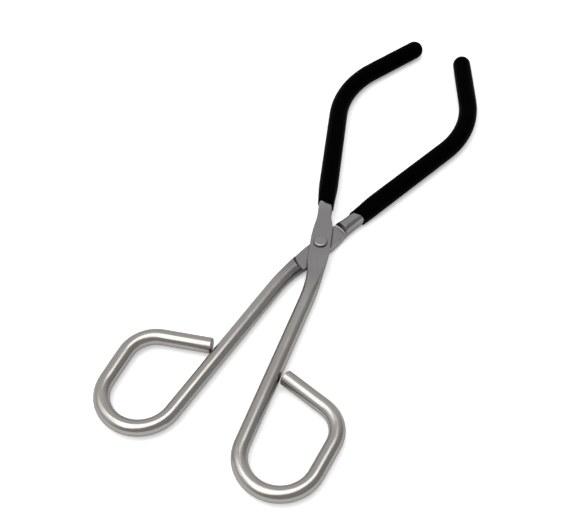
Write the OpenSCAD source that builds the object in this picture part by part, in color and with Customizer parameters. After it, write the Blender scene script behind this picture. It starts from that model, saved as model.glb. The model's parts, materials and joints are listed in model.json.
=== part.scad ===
// Flask tongs: two bent steel rods, forged flat where they cross and riveted
// through a half lap, with black vinyl sleeves over the jaws.
// Both arms are one forging, and the lower one is the same forging turned over.
// Millimetres. +Z is up, the tongs lie flat with the jaws towards +Y, and the
// origin is under the middle of the whole tool, at its lowest point.

/* [Rod] */
// Diameter of the round steel rod
rod_d = 6.35; // [5.5:0.05:7]

/* [Pose] */
// Angle of each arm's straight jaw from the tool's centre line, as it lies
rest_angle = 19.4; // [18:0.1:32]

/* [Jaws] */
// From the pivot to the start of the jaw's bend
jaw_straight = 81; // [60:1:110]
// Radius of the jaw's bend, on the rod's centre line
jaw_bend_r = 45.5; // [20:0.5:55]
// Angle of the jaw's bend
jaw_bend = 45.7; // [35:0.1:55]
// Straight run from the bend to the sleeve's closed tip
jaw_tip = 31.6; // [20:0.1:45]

/* [Sleeves] */
// From the pivot to the vinyl's edge, along the tool's centre line
dip_line = 21.3; // [20:0.1:35]
// Wall of the vinyl sleeve
sleeve_wall = 1.05; // [0.8:0.05:2]
// Wall at the vinyl's edge, where the coat is thin and follows the squared neck
edge_wall = 0.5; // [0.35:0.05:0.8]
// Length over which the coat thickens and rounds from its edge on
edge_run = 14; // [8:1:30]
// Radial gap between the rod and the sleeve
sleeve_fit = 0.03; // [0.02:0.01:0.1]
// Vinyl past the end of the rod at the closed tip
tip_cover = 2.8; // [1.6:0.1:4]

/* [Handles] */
// From the pivot to the start of the shank's bend
shank_start = 5; // [3:0.5:14]
// Radius of the shank's gentle bend
shank_bend_r = 113; // [60:1:130]
// Angle of the shank's gentle bend
shank_bend = 13.1; // [6:0.1:16]
// Straight shank, from its bend to the finger loop
shank_length = 68.3; // [60:0.1:110]
// Radius of the loop's round bottom, on the rod's centre line
loop_r = 14.8; // [12:0.1:20]
// Angle of the loop's round bottom
loop_bend = 172.2; // [160:0.1:180]
// Straight outer side of the loop
loop_side = 13.8; // [4:0.1:30]
// Radius of the bend that brings the rod back to the shank
heel_r = 12.6; // [8:0.1:16]
// Angle of that bend
heel_bend = 76.5; // [65:0.1:90]
// Gap between the rod's cut end and the shank
end_gap = 0.4; // [0.1:0.05:2]
// Chamfer on the rod's cut end
end_chamfer = 0.35; // [0.1:0.05:0.8]

/* [Forged leaf] */
// How much wider than the rod the leaf is
leaf_swell = 2.25; // [1.4:0.05:3]
// From the pivot to where the leaf's left side starts to draw in, towards the jaw
left_front = 1; // [0:0.5:5]
// The same on the right side
right_front = 8.5; // [5:0.5:10]
// Where both sides have drawn in to the neck
neck_start = 17; // [15:0.5:18]
// From the pivot to where the leaf's left side starts to draw in, towards the handle
left_back = 8; // [5:0.5:9]
// Where it has drawn in to the shank
left_end = 20.5; // [16:0.5:26]
// From the pivot to where the leaf's right side starts to draw in, towards the handle
right_back = 5; // [2:0.5:7]
// Where it has drawn in to the shank
right_end = 17; // [14:0.5:22]
// How much narrower than the rod the squared neck is
neck_draw = 0.3; // [0.2:0.05:1]
// Depth of the flat on the leaf's outer side, under the rod's surface
leaf_cut = 0.55; // [0.3:0.05:0.8]
// Depth of the same flat where the neck goes into the vinyl
neck_cut = 0.62; // [0.4:0.02:0.9]
// Depth of the narrow flat on the neck's inner side
inner_cut = 0.33; // [0.1:0.01:0.5]
// Height of the leaf's upright edge, from its outer flat down
leaf_edge = 0.5; // [0.3:0.05:1]
// Share of the leaf's width that its inner side keeps, at the pivot and towards the handle
full_share = 0.88; // [0.8:0.01:0.95]
// Share that it keeps at the lap's end towards the jaw
end_share = 0.68; // [0.6:0.01:0.85]
// How square the leaf's outer edges are: 2 is round, more is squarer
leaf_square = 6; // [3:0.1:8]
// How square the neck's outer edges are
neck_square = 3.8; // [2:0.1:4]
// From the pivot to where the outer flat starts to rise to the shank's surface
flat_start = 12; // [9:0.5:18]
// Where it has reached the shank's surface
flat_end = 27; // [22:0.5:32]
// How far the neck runs on under the vinyl before it is round rod again
neck_hidden = 2; // [1:0.1:4]

/* [Half lap] */
// Room between the other leaf, with the jaws shut, and the shoulder towards the jaw
jaw_room = 0.35; // [0.3:0.05:1]
// The same at the shoulder towards the handle
shank_room = 1.2; // [0.6:0.05:1.6]
// How far beside the pivot the round wall of the jaw's shoulder is centred
jaw_aside = 1; // [0:0.1:4]
// The same for the handle's shoulder, on the other side
shank_aside = 5; // [0:0.1:6]
// Slope from upright of the shoulder towards the jaw
jaw_draft = 4; // [0:1:20]
// Slope from upright of the shoulder towards the handle
shank_draft = 30; // [0:1:40]
// Radius of the fillet at the shoulders' foot
lap_fillet = 0.8; // [0.2:0.1:0.8]
// Rounding of the shoulders' top edge
lap_lip = 0.25; // [0.1:0.05:0.5]
// Running gap between the two flat faces of the lap
lap_gap = 0.08; // [0.04:0.01:0.2]

/* [Rivet] */
// Diameter of the rivet's shank
rivet_d = 3.5; // [2.5:0.1:4.5]
// Radial gap between the rivet and its two holes
rivet_fit = 0.05; // [0.02:0.01:0.1]
// Diameter of the rivet's head
head_d = 5.8; // [5:0.1:7]
// Height of the head
head_h = 0.95; // [0.75:0.05:1.5]
// Diameter of the peened tail
tail_d = 5.2; // [4.6:0.1:7]
// Height of the peened tail
tail_h = 0.75; // [0.75:0.05:1]
// Rounding of the edge of the head and of the tail
rivet_rim = 0.6; // [0.2:0.05:0.7]
// Running gap under the head
head_gap = 0.05; // [0.02:0.01:0.15]

/* [Hidden] */
$fn = 64;
rod_r = rod_d / 2;
// Bends and the forged stretch run joint_run into the straights, joint_step under
// their surface: a bent rod draws down by about as much
joint_step = 0.01;
joint_run = 0.3;
forged_r = rod_r - joint_step;
sleeve_in = rod_r + sleeve_fit;
sleeve_r = sleeve_in + sleeve_wall;
bend_run = shank_bend_r * shank_bend * PI / 180;

// How far the outer side of a finger loop lies from the shank's centre line, and
// the length of the rod's return that leaves end_gap at the shank
side_offset = loop_r * (1 - cos(loop_bend)) + loop_side * sin(loop_bend);
heel_turn = loop_bend + heel_bend;
heel_offset = side_offset + heel_r * (cos(loop_bend) - cos(heel_turn));
end_offset = rod_r + end_gap + rod_r * abs(cos(heel_turn));
loop_return = (heel_offset - end_offset) / abs(sin(heel_turn));

// How far the tool reaches to each side of the pivot, along +Y, as it lies
tip_angle = rest_angle - jaw_bend;
jaw_reach = jaw_straight * cos(rest_angle) + jaw_bend_r * (sin(rest_angle) - sin(tip_angle))
    + (jaw_tip - sleeve_r) * cos(tip_angle) + sleeve_r;
shank_angle = rest_angle - shank_bend;
handle_reach = shank_start * cos(rest_angle) + shank_bend_r * (sin(rest_angle) - sin(shank_angle))
    + shank_length * cos(shank_angle) + loop_r * (1 - sin(shank_angle)) + rod_r;
pivot_y = (handle_reach - jaw_reach) / 2;

// Where the jaws shut: the centre of the sleeve's domed tip, seen along the arm, and
// the angle of each arm from the centre line when the two tips touch
tip_x = jaw_bend_r * (1 - cos(jaw_bend)) + (jaw_tip - sleeve_r) * sin(jaw_bend);
tip_y = jaw_straight + jaw_bend_r * sin(jaw_bend) + (jaw_tip - sleeve_r) * cos(jaw_bend);
shut_angle = atan2(tip_x, tip_y) + asin(sleeve_r / norm([tip_x, tip_y]));

// The forging: where the vinyl starts on it and where it ends under the vinyl and on the
// shank, its half widths, and the height of its outer and inner flats. A round section has
// the narrowest of flats, up to round_end degrees
round_end = 88;
sleeve_start = (dip_line - sleeve_r * sin(rest_angle)) / cos(rest_angle);
neck_end = (dip_line + sleeve_r * sin(rest_angle)) / cos(rest_angle) + neck_hidden;
shank_end = shank_start + bend_run;
forged_end = max(shank_end, flat_end);
leaf_half = rod_r + leaf_swell / 2;
neck_half = rod_r - neck_draw / 2;
leaf_face = rod_r - leaf_cut;
neck_face = rod_r - neck_cut;
inner_face = rod_r - inner_cut;
round_face = forged_r * sin(round_end);
leaf_middle = leaf_face - leaf_edge;
edge_break = 0.12;

// Where the section turns from the leaf's into the neck's and the shank's
leaf_clear = 8;
neck_clear = 14;
shank_clear = 16;
share_clear = 3;
neck_turn = 4;

STRAIGHT = 0;
BEND = 1;
side_points = 17;
neck_steps = 22;
shank_steps = 28;
coat_steps = 12;

// A smooth step from 1 at a to 0 at b
function fade(x, a, b) = let (u = max(0, min(1, (x - a) / (b - a)))) 1 - u * u * (3 - 2 * u);
function mix(a, b, share) = a + (b - a) * share;

// Centre and turn of the forged stretch at s from the pivot, plus towards the jaw
function spine_turn(s) = max(0, min(-s - shank_start, bend_run)) / shank_bend_r * 180 / PI;
function spine(s) =
    let (turn = spine_turn(s), rest = max(0, -s - shank_start - bend_run))
    [-shank_bend_r * (1 - cos(turn)) - rest * sin(turn),
     max(s, -shank_start) - shank_bend_r * sin(turn) - rest * cos(turn)];

// How much of the section at s is the leaf's, and where the neck's flats have run out
function leafness(s) = s > 0 ? fade(s, leaf_clear, neck_clear) : fade(-s, leaf_clear, shank_clear);
function neckness(s) = fade(s, neck_end - neck_turn, neck_end);

// Half width of each side at s: the leaf is askew, so its sides draw in at different places
function bare_half(s) = mix(forged_r, neck_half, (1 - fade(s, 0, leaf_clear)) * neckness(s));
function left_half(s) = mix(bare_half(s), leaf_half,
    s > 0 ? fade(s, left_front, neck_start) : fade(-s, left_back, left_end));
function right_half(s) = mix(bare_half(s), leaf_half,
    s > 0 ? fade(s, right_front, neck_start) : fade(-s, right_back, right_end));

// How square the outer edges are at s, and the heights of the outer and inner flats
function squareness(s) = s > 0
    ? mix(2, mix(neck_square, leaf_square, fade(s, leaf_clear, neck_start)), neckness(s))
    : mix(2, leaf_square, fade(-s, leaf_clear, flat_end));
function outer_flat(s) = s > 0
    ? mix(round_face, mix(neck_face, leaf_face, fade(s, leaf_clear, neck_start)), neckness(s))
    : mix(round_face, leaf_face, fade(-s, flat_start, flat_end));
function inner_flat(s) = s > 0 ? mix(round_face, inner_face, neckness(s)) : round_face;

// Height of the widest place at s, and from there down to where the flank's ellipse ends:
// the flank meets the joint plane at the share of the width that the inner side keeps
function middle(s) = leaf_middle * leafness(s);
function kept(s) = s > 0 ? mix(end_share, full_share, fade(s, share_clear, neck_clear)) : full_share;
function drop(s) = mix(forged_r, leaf_middle / sqrt(1 - kept(s) * kept(s)), leafness(s));

// One side of a section from its outer flat down to its inner one, as offset and height:
// half width, squareness, height of the widest place, rise and fall from there to the ends
// of the flank's curves, and heights of the two flats, which end in a broken edge
function side(half, n, mid, rise, fall, outer, inner) =
    let (top = asin(pow((outer - mid) / rise, n / 2)),
         low = asin(min(sin(round_end), (inner + mid) / fall)),
         flank = [for (i = [0:side_points - 1])
             let (t = top - i * (top + low) / (side_points - 1))
             t > 0 ? [half * pow(cos(t), 2 / n), mid + rise * pow(sin(t), 2 / n)]
                 : [half * cos(t), mid + fall * sin(t)]],
         first = flank[0], last = flank[side_points - 1], share = 1 - edge_break / half)
    concat([[first[0] * share - edge_break / 2, first[1]]],
        [[first[0], first[1] - edge_break / 3]],
        [for (i = [1:side_points - 2]) flank[i]],
        [[last[0], last[1] + edge_break / 6]],
        [[last[0] * share - edge_break / 4, last[1]]]);
function ring(right, left) = concat(right, [for (i = [len(left) - 1:-1:0]) [-left[i][0], left[i][1]]]);

// The forging's section at s
function forged_side(s, half) =
    side(half, squareness(s), middle(s), forged_r - middle(s), drop(s), outer_flat(s), inner_flat(s));
function section(s) =
    let (c = spine(s), turn = spine_turn(s),
         outline = ring(forged_side(s, right_half(s)), forged_side(s, left_half(s))))
    [for (p = outline) [c[0] + p[0] * cos(turn), c[1] - p[0] * sin(turn), p[1]]];

// The neck's section at s, grown by a wall; squared by a share from 0 to 1
function grown(s, share, wall) =
    let (r = forged_r + wall,
         half = side(mix(forged_r, neck_half, share) + wall, mix(2, neck_square, share), 0, r, r,
             mix(round_face, neck_face, share) + wall * sin(round_end),
             mix(round_face, inner_face, share) + wall * sin(round_end)))
    [for (p = ring(half, half)) [p[0], s, p[1]]];

// A solid through a list of sections, the first one nearest to the jaw
module loft(sections) {
    n = len(sections[0]);
    last = len(sections) - 1;
    points = [for (outline = sections) each outline];
    sides = [for (j = [0:last - 1], i = [0:n - 1])
        let (a = j * n + i, b = j * n + (i + 1) % n) each [[a, b, b + n], [a, b + n, a + n]]];
    near_cap = [for (i = [n - 1:-1:0]) i];
    far_cap = [for (i = [0:n - 1]) last * n + i];
    polyhedron(points, concat(sides, [near_cap, far_cap]), convexity = 6);
}

// The forged stretch, from under the vinyl to the end of the shank's bend
neck_places = concat([neck_end + joint_run], [for (i = [0:neck_steps]) neck_end * (1 - i / neck_steps)]);
module forging() {
    shank_places = concat([for (i = [1:shank_steps]) -forged_end * i / shank_steps],
        [-forged_end - joint_run]);
    loft([for (s = concat(neck_places, shank_places)) section(s)]);
}

// Where the other leaf's edge meets this arm's middle line with the jaws shut, as seen
// from the pivot: its side, of half width half(s), crosses the line at shut_angle
function front_corner(s, tries) = tries == 0 ? norm([s, right_half(s)])
    : front_corner((s + right_half(s) / tan(shut_angle)) / 2, tries - 1);
function back_corner(s, tries) = tries == 0 ? norm([s, left_half(-s)])
    : back_corner((s + left_half(-s) / tan(shut_angle)) / 2, tries - 1);
function shoulder_r(corner, aside) = norm([corner * sin(shut_angle) - aside, corner * cos(shut_angle)]);
corner_tries = 30;
jaw_shoulder_r = shoulder_r(front_corner(neck_clear, corner_tries), jaw_aside) + jaw_room;
shank_shoulder_r = shoulder_r(back_corner(neck_clear, corner_tries), shank_aside) + shank_room;

// A rod along +Y through a list of straights and bends; a bend to the left is plus
module rod(steps, r, i = 0) {
    if (i < len(steps)) {
        if (steps[i][0] == STRAIGHT) {
            rotate([-90, 0, 0]) cylinder(r = r, h = steps[i][1]);
            translate([0, steps[i][1], 0]) rod(steps, r, i + 1);
        } else {
            side = sign(steps[i][2]);
            lead = joint_run / steps[i][1] * 180 / PI;
            translate([-side * steps[i][1], 0, 0]) {
                mirror([side < 0 ? 1 : 0, 0, 0])
                    rotate_extrude(start = -lead, angle = abs(steps[i][2]) + 2 * lead)
                        translate([steps[i][1], 0]) circle(r = r - joint_step);
                rotate([0, 0, steps[i][2]]) translate([side * steps[i][1], 0, 0]) rod(steps, r, i + 1);
            }
        }
    }
}

// The jaw from a place on its straight, with its last straight of a given length
function jaw_path(from, last) = [
    [STRAIGHT, jaw_straight - from],
    [BEND, jaw_bend_r, -jaw_bend],
    [STRAIGHT, last]];

// The shank from the end of the forging, round the finger loop to the chamfer
loop_path = [
    [STRAIGHT, shank_length + shank_end - forged_end],
    [BEND, loop_r, loop_bend],
    [STRAIGHT, loop_side],
    [BEND, heel_r, heel_bend],
    [STRAIGHT, loop_return - end_chamfer]];

// Places its children at the end of the path, looking along it
module at_end(steps, i = 0) {
    if (i < len(steps)) {
        if (steps[i][0] == STRAIGHT) {
            translate([0, steps[i][1], 0]) at_end(steps, i + 1) children();
        } else {
            side = sign(steps[i][2]);
            translate([-side * steps[i][1], 0, 0]) rotate([0, 0, steps[i][2]])
                translate([side * steps[i][1], 0, 0]) at_end(steps, i + 1) children();
        }
    } else {
        children();
    }
}

// What the other arm's leaf turns in, on one side of the pivot: a flat floor at the joint
// plane and a round shoulder with a filleted foot and a rounded lip, at height top
module half_lap(r, draft, top, start) {
    foot = [for (t = [90:-15:draft + 1]) [r - lap_fillet * (1 - cos(t)), -lap_fillet * (1 - sin(t))]];
    wall_foot = [r - lap_fillet * (1 - cos(draft)), -lap_fillet * (1 - sin(draft))];
    wall_top = lap_lip * (1 - sin(draft)) - top;
    wall_reach = wall_foot[0] + (wall_foot[1] - wall_top) * tan(draft);
    lip = [for (t = [draft + 15:15:89])
        [wall_reach + lap_lip * (cos(draft) - cos(t)), wall_top - lap_lip * (sin(t) - sin(draft))]];
    brim = wall_reach + lap_lip * cos(draft);
    translate([0, 0, lap_gap / 2]) rotate_extrude(start = start, angle = 180)
        polygon(concat([[0, 0]], foot, [wall_foot, [wall_reach, wall_top]], lip,
            [[brim, -top], [brim, -top - 1], [0, -top - 1]]));
}

// One arm along +Y, with the pivot at the origin and its leaf over the joint plane
module arm() {
    difference() {
        union() {
            forging();
            translate([0, neck_end, 0]) rod(jaw_path(neck_end, jaw_tip - tip_cover), rod_r);
            translate([spine(-forged_end)[0], spine(-forged_end)[1], 0]) rotate([0, 0, 180 - shank_bend]) {
                rod(loop_path, rod_r);
                at_end(loop_path) rotate([-90, 0, 0])
                    cylinder(r1 = rod_r, r2 = rod_r - end_chamfer, h = end_chamfer);
            }
        }
        translate([jaw_aside, 0, 0]) half_lap(jaw_shoulder_r, jaw_draft, inner_face, 0);
        translate([-shank_aside, 0, 0]) half_lap(shank_shoulder_r, shank_draft, forged_r, 180);
        cylinder(r = rivet_d / 2 + rivet_fit, h = 4 * rod_r, center = true);
    }
}

// A vinyl sleeve over one jaw: domed at the tip, and open at the pivot end along the dip
// line, which is level across both jaws as the tool lies. There it follows the squared neck
module sleeve() {
    full_end = sleeve_start + edge_run;
    outer = jaw_path(full_end, jaw_tip - sleeve_r);
    bore_start = neck_end - sleeve_fit;
    inner = jaw_path(bore_start, jaw_tip - tip_cover + sleeve_fit);
    coat_places = concat([full_end + joint_run],
        [for (i = [0:coat_steps]) full_end - (edge_run + 1) * i / coat_steps]);
    bore_places = [for (s = neck_places) if (s > sleeve_start - 3) s];
    difference() {
        union() {
            loft([for (s = coat_places)
                let (share = fade(s, sleeve_start, full_end))
                grown(s, share, mix(sleeve_fit + sleeve_wall, edge_wall, share))]);
            translate([0, full_end, 0]) {
                rod(outer, sleeve_r);
                at_end(outer) intersection() {
                    rotate([-90, 0, 0]) sphere(r = sleeve_r);
                    translate([-sleeve_r, 0, -sleeve_r]) cube(2 * sleeve_r);
                }
            }
        }
        loft([for (s = bore_places) grown(s, neckness(s), sleeve_fit)]);
        translate([0, bore_start, 0]) rod(inner, sleeve_in);
        rotate([0, 0, -rest_angle]) translate([-dip_line, 0, -rod_d])
            cube([2 * dip_line, dip_line, 2 * rod_d]);
    }
}

// A flat round head with a rounded edge, standing on z = 0
module button(d, h) {
    round_in = d / 2 - rivet_rim;
    rotate_extrude() {
        square([round_in, h]);
        square([d / 2, h - rivet_rim]);
        translate([round_in, h - rivet_rim]) intersection() {
            circle(r = rivet_rim);
            square(rivet_rim);
        }
    }
}

// Places the upper arm's pieces as the tool lies
module upper() {
    translate([0, pivot_y, sleeve_r]) rotate([0, 0, rest_angle]) children();
}

// Places the lower arm's pieces: the same, turned over about the centre line
module lower() {
    translate([0, pivot_y, sleeve_r]) rotate([0, 180, 0]) rotate([0, 0, rest_angle]) children();
}

module upper_arm() {
    color([0.62, 0.61, 0.6]) upper() arm();
}

module lower_arm() {
    color([0.56, 0.55, 0.54]) lower() arm();
}

module upper_sleeve() {
    color([0.05, 0.05, 0.06]) upper() sleeve();
}

module lower_sleeve() {
    color([0.05, 0.05, 0.06]) lower() sleeve();
}

module rivet() {
    color([0.72, 0.71, 0.7]) translate([0, pivot_y, sleeve_r]) {
        translate([0, 0, -leaf_face - tail_h / 2])
            cylinder(d = rivet_d, h = 2 * leaf_face + head_gap + (head_h + tail_h) / 2);
        translate([0, 0, leaf_face + head_gap]) button(head_d, head_h);
        translate([0, 0, -leaf_face]) mirror([0, 0, 1]) button(tail_d, tail_h);
    }
}

upper_arm();
lower_arm();
upper_sleeve();
lower_sleeve();
rivet();
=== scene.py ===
import json
import math

import bpy
from mathutils import Matrix, Vector

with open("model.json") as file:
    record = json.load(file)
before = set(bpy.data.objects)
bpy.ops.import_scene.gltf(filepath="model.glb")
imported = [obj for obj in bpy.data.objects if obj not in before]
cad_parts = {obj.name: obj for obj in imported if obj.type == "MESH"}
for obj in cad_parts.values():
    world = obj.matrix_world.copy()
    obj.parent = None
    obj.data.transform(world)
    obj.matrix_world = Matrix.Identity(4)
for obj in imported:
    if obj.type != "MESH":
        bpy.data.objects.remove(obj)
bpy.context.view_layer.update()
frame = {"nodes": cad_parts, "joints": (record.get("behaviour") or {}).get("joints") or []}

bl_info = {
    "name": "Flask Tongs",
    "version": (1, 0, 0),
    "blender": (4, 5, 0),
    "location": "View3D > Sidebar > Tongs",
    "description": "Finishes a pair of bent-rod flask tongs with vinyl-covered jaws, and sets its stage",
    "category": "Object",
}

MM = 0.001
PIVOT = Vector(frame["joints"][0]["pos_m"])
# Of each softbox: its centre from over the pivot, width and depth, in heights above it, its turn and its share of the light
SOFTBOXES = {
    "softbox_middle": (-0.1, -0.15, 1.02, 0.56, 0.0, 1.0),
    "softbox_back": (0.12, 0.26, 0.56, 0.28, 0.0, 1.0),
    "softbox_front": (-0.2, -0.68, 0.66, 0.9, -0.72, 1.0),
    "softbox_left": (-1.0, -0.36, 0.75, 0.8, 0.0, 0.42),
}


class Wire:
    """An output socket of a shader. Arithmetic on it adds Math nodes."""

    def __init__(self, shader, socket):
        self.shader = shader
        self.socket = socket

    def maths(self, operation, *values):
        return self.shader.node("ShaderNodeMath", {"operation": operation}, dict(enumerate(values)))

    def __add__(self, other):
        return self.maths("ADD", self, other)

    def __radd__(self, other):
        return self.maths("ADD", other, self)

    def __sub__(self, other):
        return self.maths("SUBTRACT", self, other)

    def __rsub__(self, other):
        return self.maths("SUBTRACT", other, self)

    def __mul__(self, other):
        return self.maths("MULTIPLY", self, other)

    def __rmul__(self, other):
        return self.maths("MULTIPLY", other, self)

    def __truediv__(self, other):
        return self.maths("DIVIDE", self, other)

    def __rtruediv__(self, other):
        return self.maths("DIVIDE", other, self)

    def __pow__(self, other):
        return self.maths("POWER", self, other)

    def clamped(self):
        return self.shader.node("ShaderNodeClamp", {}, {"Value": self})


class Shader:
    """A node tree that is written as calls and arithmetic."""

    def __init__(self, owner):
        owner.use_nodes = True
        self.tree = owner.node_tree
        self.tree.nodes.clear()

    def node(self, kind, settings, inputs, output=0):
        made = self.tree.nodes.new(kind)
        for name, value in settings.items():
            if name == "stops":
                ramp = made.color_ramp
                while len(ramp.elements) < len(value):
                    ramp.elements.new(0.5)
                for element, (place, colour) in zip(ramp.elements, value):
                    element.position = place
                    element.color = (*colour, 1.0)
            else:
                setattr(made, name, value)
        for name, value in inputs.items():
            if isinstance(value, Wire):
                self.tree.links.new(value.socket, made.inputs[name])
            else:
                made.inputs[name].default_value = value
        return Wire(self, made.outputs[output]) if made.outputs else None

    def place(self):
        """The surface point in the tool's own frame, in millimetres."""
        spot = self.node("ShaderNodeTexCoord", {}, {}, "Object")
        return self.node("ShaderNodeVectorMath", {"operation": "SCALE"}, {0: spot, "Scale": 1 / MM})

    def noise(self, place, scale, detail=3.0, roughness=0.55):
        return self.node("ShaderNodeTexNoise", {}, {
            "Vector": place, "Scale": scale, "Detail": detail, "Roughness": roughness})

    def seen(self, mirrored):
        """1 for the rays that show the table or the backdrop, mirrored for those that mirror it, 0 for those that light with it."""
        through = (self.node("ShaderNodeLightPath", {}, {}, "Is Glossy Ray")
                   + self.node("ShaderNodeLightPath", {}, {}, "Is Transmission Ray"))
        return (self.node("ShaderNodeLightPath", {}, {}, "Is Camera Ray") + through * mirrored).clamped()

    def ramp(self, value, low, high):
        """0 at low and 1 at high, smoothly."""
        return self.node("ShaderNodeMapRange", {"interpolation_type": "SMOOTHSTEP"}, {
            "Value": value, "From Min": low, "From Max": high})

    def blend(self, share, first, second):
        """first where share is 0, second where it is 1, for colours."""
        return self.node("ShaderNodeMix", {"data_type": "RGBA"}, {0: share, 6: first, 7: second}, 2)


def rgb(colour):
    return (*colour, 1.0)


class SteelSettings(bpy.types.PropertyGroup):
    """Finish of the bent rods and of the rivet"""
    colour: bpy.props.FloatVectorProperty(
        name="Steel", description="Colour of the satin steel", subtype="COLOR",
        default=(0.44, 0.42, 0.4), size=3, min=0, max=1)
    forged_colour: bpy.props.FloatVectorProperty(
        name="Forged steel", description="Colour of the duller forged leaves", subtype="COLOR",
        default=(0.3, 0.292, 0.292), size=3, min=0, max=1)
    rivet_colour: bpy.props.FloatVectorProperty(
        name="Rivet", description="Colour of the rivet's bright head", subtype="COLOR",
        default=(0.33, 0.322, 0.32), size=3, min=0, max=1)
    roughness: bpy.props.FloatProperty(
        name="Roughness", description="How matte the satin is", default=0.21, min=0.05, max=1)


class VinylSettings(bpy.types.PropertyGroup):
    """Finish of the jaw sleeves"""
    colour: bpy.props.FloatVectorProperty(
        name="Vinyl", description="Colour of the dipped vinyl", subtype="COLOR",
        default=(0.0005, 0.0005, 0.0007), size=3, min=0, max=1)
    gloss: bpy.props.FloatProperty(
        name="Gloss", description="Specular level: low, so that only the flanks show the table",
        default=0.006, min=0, max=1)
    roughness: bpy.props.FloatProperty(
        name="Roughness", description="How matte the vinyl is", default=0.35, min=0.05, max=1)


class StageSettings(bpy.types.PropertyGroup):
    """The camera, the floor and the light"""
    turn: bpy.props.FloatProperty(
        name="Turn", description="How far the camera stands round the tool, from behind the handles",
        default=math.radians(26.71), subtype="ANGLE")
    rise: bpy.props.FloatProperty(
        name="Rise", description="How far the camera looks down", default=math.radians(51.41), subtype="ANGLE")
    distance: bpy.props.FloatProperty(
        name="Distance", description="From the camera to the point it looks at", default=0.4233,
        unit="LENGTH", min=0.1)
    lens: bpy.props.FloatProperty(
        name="Lens", description="Focal length in millimetres", default=63.87, min=20, max=200)
    aim: bpy.props.FloatVectorProperty(
        name="Aim", description="Point that the camera looks at, from the pivot", subtype="TRANSLATION",
        default=(-0.00953, -0.01435, 0.0), size=3)
    floor_colour: bpy.props.FloatVectorProperty(
        name="Floor", description="Colour of the white table", subtype="COLOR",
        default=(0.82, 0.82, 0.82), size=3, min=0, max=1)
    lift: bpy.props.FloatProperty(
        name="Lift", description="How much whiter the table looks than its colour, to the camera and in the metal",
        default=0.3, min=0, max=1)
    box_height: bpy.props.FloatProperty(
        name="Softbox height", description="From the pivot up to the softbox", default=0.9, unit="LENGTH", min=0.2)
    box_level: bpy.props.FloatProperty(
        name="Softbox level", description="How bright the softbox looks; 1 is white", default=2.2, min=0)
    light_side: bpy.props.FloatProperty(
        name="Light side", description="Level of the studio behind and to the left", default=0.7, min=0)
    dark_side: bpy.props.FloatProperty(
        name="Dark side", description="Level of the studio in front and to the right", default=0.36, min=0)


def steel_material(name, colour, forged_colour, roughness):
    """Satin steel: a soft mottle and a few duller patches, duller still on the forged leaves, and painted shade that
    darkens the crevices.
    """
    material = bpy.data.materials.new(name)
    shader = Shader(material)
    place = shader.place()
    reach = shader.node("ShaderNodeVectorMath", {"operation": "DISTANCE"}, {0: place, 1: PIVOT / MM}, "Value")
    forged = 1.0 - shader.ramp(reach, 16.0, 30.0)
    mottle = shader.noise(place, 0.35)
    grain = shader.noise(place, 6.0, 2.0)
    wear = shader.ramp(shader.noise(place, 0.12, 4.0), 0.45, 0.7)
    # Painted shade: ambient occlusion finds crevices, the lap and the gap between the two arms, where the colour is
    # darkened.
    open_air = shader.node("ShaderNodeAmbientOcclusion", {"samples": 16}, {"Distance": 1.6 * MM}, "AO")
    crevice_shade = 1.0 - shader.ramp(open_air, 0.4, 0.9)
    tint = shader.blend(mottle * 0.5, rgb(colour), rgb([c * 0.82 for c in colour]))
    tint = shader.blend(forged, tint, rgb(forged_colour))
    # painted shade: near-black steel colour where the occlusion mask is high
    tint = shader.blend(crevice_shade, tint, rgb([c * 0.08 for c in colour]))
    rough = roughness + (mottle - 0.5) * 0.1 + wear * 0.06 + crevice_shade * 0.2
    bump = shader.node("ShaderNodeBump", {}, {
        "Strength": 0.04, "Distance": 0.02 * MM, "Height": grain})
    body = shader.node("ShaderNodeBsdfPrincipled", {}, {
        "Base Color": tint, "Metallic": 1.0, "Roughness": rough, "Specular Tint": rgb((0.5, 0.5, 0.5)), "Normal": bump})
    shader.node("ShaderNodeOutputMaterial", {}, {"Surface": body})
    return material


def vinyl_material(colour, gloss, roughness):
    """Dipped vinyl: near black, with a faint grey bloom and a slightly wavy skin."""
    material = bpy.data.materials.new("vinyl")
    shader = Shader(material)
    place = shader.place()
    bloom = shader.ramp(shader.noise(place, 0.2, 4.0), 0.5, 0.75)
    skin = shader.noise(place, 1.2, 2.0)
    tint = shader.blend(bloom * 0.5, rgb(colour), rgb([c * 2.0 for c in colour]))
    bump = shader.node("ShaderNodeBump", {}, {
        "Strength": 0.15, "Distance": 0.05 * MM, "Height": skin})
    body = shader.node("ShaderNodeBsdfPrincipled", {}, {
        "Base Color": tint, "Roughness": roughness + bloom * 0.12, "Specular IOR Level": gloss, "Normal": bump})
    shader.node("ShaderNodeOutputMaterial", {}, {"Surface": body})
    return material


def dress(node, material):
    """Gives a carried-over node its finish."""
    piece = frame["nodes"][node]
    piece.data.materials.clear()
    piece.data.materials.append(material)


class TONGS_OT_arms(bpy.types.Operator):
    """Finish the two bent steel arms"""
    bl_idname = "tongs.arms"
    bl_label = "Arms"

    def execute(self, context):
        settings = context.scene.tongs_steel
        steel = steel_material("satin_steel", settings.colour, settings.forged_colour, settings.roughness)
        for node in ("upper_arm", "lower_arm"):
            dress(node, steel)
        return {"FINISHED"}


class TONGS_OT_sleeves(bpy.types.Operator):
    """Finish the two vinyl jaw sleeves"""
    bl_idname = "tongs.sleeves"
    bl_label = "Sleeves"

    def execute(self, context):
        settings = context.scene.tongs_vinyl
        vinyl = vinyl_material(settings.colour, settings.gloss, settings.roughness)
        for node in ("upper_sleeve", "lower_sleeve"):
            dress(node, vinyl)
        return {"FINISHED"}


class TONGS_OT_rivet(bpy.types.Operator):
    """Finish the pivot rivet"""
    bl_idname = "tongs.rivet"
    bl_label = "Rivet"

    def execute(self, context):
        settings = context.scene.tongs_steel
        dress("rivet", steel_material("rivet_steel", settings.rivet_colour, settings.rivet_colour, settings.roughness))
        return {"FINISHED"}


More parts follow.
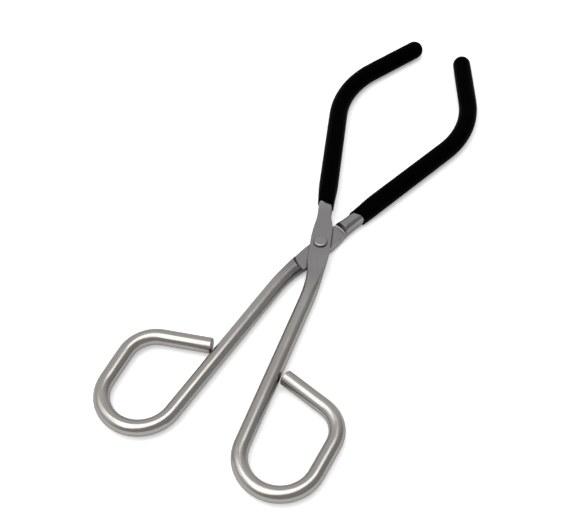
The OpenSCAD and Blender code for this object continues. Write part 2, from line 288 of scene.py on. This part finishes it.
class TONGS_OT_stage(bpy.types.Operator):
    """Set the camera, the white table and the soft light"""
    bl_idname = "tongs.stage"
    bl_label = "Stage"

    def execute(self, context):
        settings = context.scene.tongs_stage
        scene = context.scene
        self.set_camera(scene, settings)
        self.set_floor(scene, settings)
        self.set_world(scene, settings)
        self.set_softboxes(scene, settings)
        scene.view_settings.view_transform = "Standard"
        return {"FINISHED"}

    def set_camera(self, scene, settings):
        lens = bpy.data.cameras.new("camera")
        lens.lens = settings.lens
        lens.sensor_width = 36.0
        lens.clip_start = 0.01
        camera = bpy.data.objects.new("camera", lens)
        turn, rise = settings.turn, settings.rise
        back = Vector((math.sin(turn) * math.cos(rise), -math.cos(turn) * math.cos(rise), math.sin(rise)))
        right = Vector((math.cos(turn), math.sin(turn), 0.0))
        up = back.cross(right)
        place = PIVOT + Vector(settings.aim) + back * settings.distance
        facing = Matrix((right, up, back)).transposed().to_4x4()
        camera.matrix_world = Matrix.Translation(place) @ facing
        scene.collection.objects.link(camera)
        scene.camera = camera

    def set_floor(self, scene, settings):
        size = 4.0
        mesh = bpy.data.meshes.new("floor")
        corners = [(-size, -size, 0), (size, -size, 0), (size, size, 0), (-size, size, 0)]
        mesh.from_pydata(corners, [], [(0, 1, 2, 3)])
        floor = bpy.data.objects.new("floor", mesh)
        floor.location.z = -0.0002
        scene.collection.objects.link(floor)
        material = bpy.data.materials.new("white_table")
        shader = Shader(material)
        camera = shader.node("ShaderNodeLightPath", {}, {}, "Is Camera Ray")
        body = shader.node("ShaderNodeBsdfDiffuse", {}, {
            "Color": shader.blend(camera, rgb(settings.floor_colour), rgb((1, 1, 1)))})
        lift = shader.node("ShaderNodeEmission", {}, {
            "Color": rgb((1, 1, 1)), "Strength": shader.seen(0.1) * settings.lift})
        both = shader.node("ShaderNodeAddShader", {}, {0: body, 1: lift})
        shader.node("ShaderNodeOutputMaterial", {}, {"Surface": both})
        floor.data.materials.append(material)

    def set_softboxes(self, scene, settings):
        """A wide softbox overhead that reaches to the front, and a smaller one beside its back edge."""
        height = settings.box_height
        for name, (across, along, width, depth, turn, share) in SOFTBOXES.items():
            lamp = bpy.data.lights.new(name, "AREA")
            lamp.shape = "RECTANGLE"
            lamp.size = width * height
            lamp.size_y = depth * height
            lamp.energy = math.pi * lamp.size * lamp.size_y * settings.box_level * share
            holder = bpy.data.objects.new(name, lamp)
            holder.location = PIVOT + Vector((across, along, 1.0)) * height
            holder.rotation_euler.z = turn
            scene.collection.objects.link(holder)

    def set_world(self, scene, settings):
        """White to the camera, otherwise a pale studio that is darker in front and to the right."""
        world = bpy.data.worlds.new("studio")
        scene.world = world
        shader = Shader(world)
        way = shader.node("ShaderNodeTexCoord", {}, {}, "Generated")
        side = shader.node("ShaderNodeVectorMath", {"operation": "DOT_PRODUCT"}, {0: way, 1: (-0.906, 0.42, 0)}, "Value")
        studio = settings.dark_side + shader.ramp(side, -0.35, 0.35) * (settings.light_side - settings.dark_side)
        seen = shader.node("ShaderNodeLightPath", {}, {}, "Is Camera Ray")
        level = studio + seen * (1.0 - studio)
        light = shader.node("ShaderNodeBackground", {}, {"Color": rgb((1, 1, 1)), "Strength": level})
        shader.node("ShaderNodeOutputWorld", {}, {"Surface": light})


class TONGS_PT_panel(bpy.types.Panel):
    """Lists the tongs' makers in the sidebar"""
    bl_idname = "TONGS_PT_panel"
    bl_label = "Flask Tongs"
    bl_space_type = "VIEW_3D"
    bl_region_type = "UI"
    bl_category = "Tongs"

    def draw(self, context):
        for maker in MAKERS:
            self.layout.operator(maker.bl_idname)


MAKERS = (TONGS_OT_stage, TONGS_OT_arms, TONGS_OT_sleeves, TONGS_OT_rivet)
SETTINGS = {"tongs_steel": SteelSettings, "tongs_vinyl": VinylSettings, "tongs_stage": StageSettings}


def register():
    for kind in (*SETTINGS.values(), *MAKERS, TONGS_PT_panel):
        bpy.utils.register_class(kind)
    for name, kind in SETTINGS.items():
        setattr(bpy.types.Scene, name, bpy.props.PointerProperty(type=kind))


def unregister():
    for name in SETTINGS:
        delattr(bpy.types.Scene, name)
    for kind in reversed((*SETTINGS.values(), *MAKERS, TONGS_PT_panel)):
        bpy.utils.unregister_class(kind)


def main():
    register()
    bpy.ops.tongs.stage()
    bpy.ops.tongs.arms()
    bpy.ops.tongs.sleeves()
    bpy.ops.tongs.rivet()


if __name__ == "__main__":
    main()
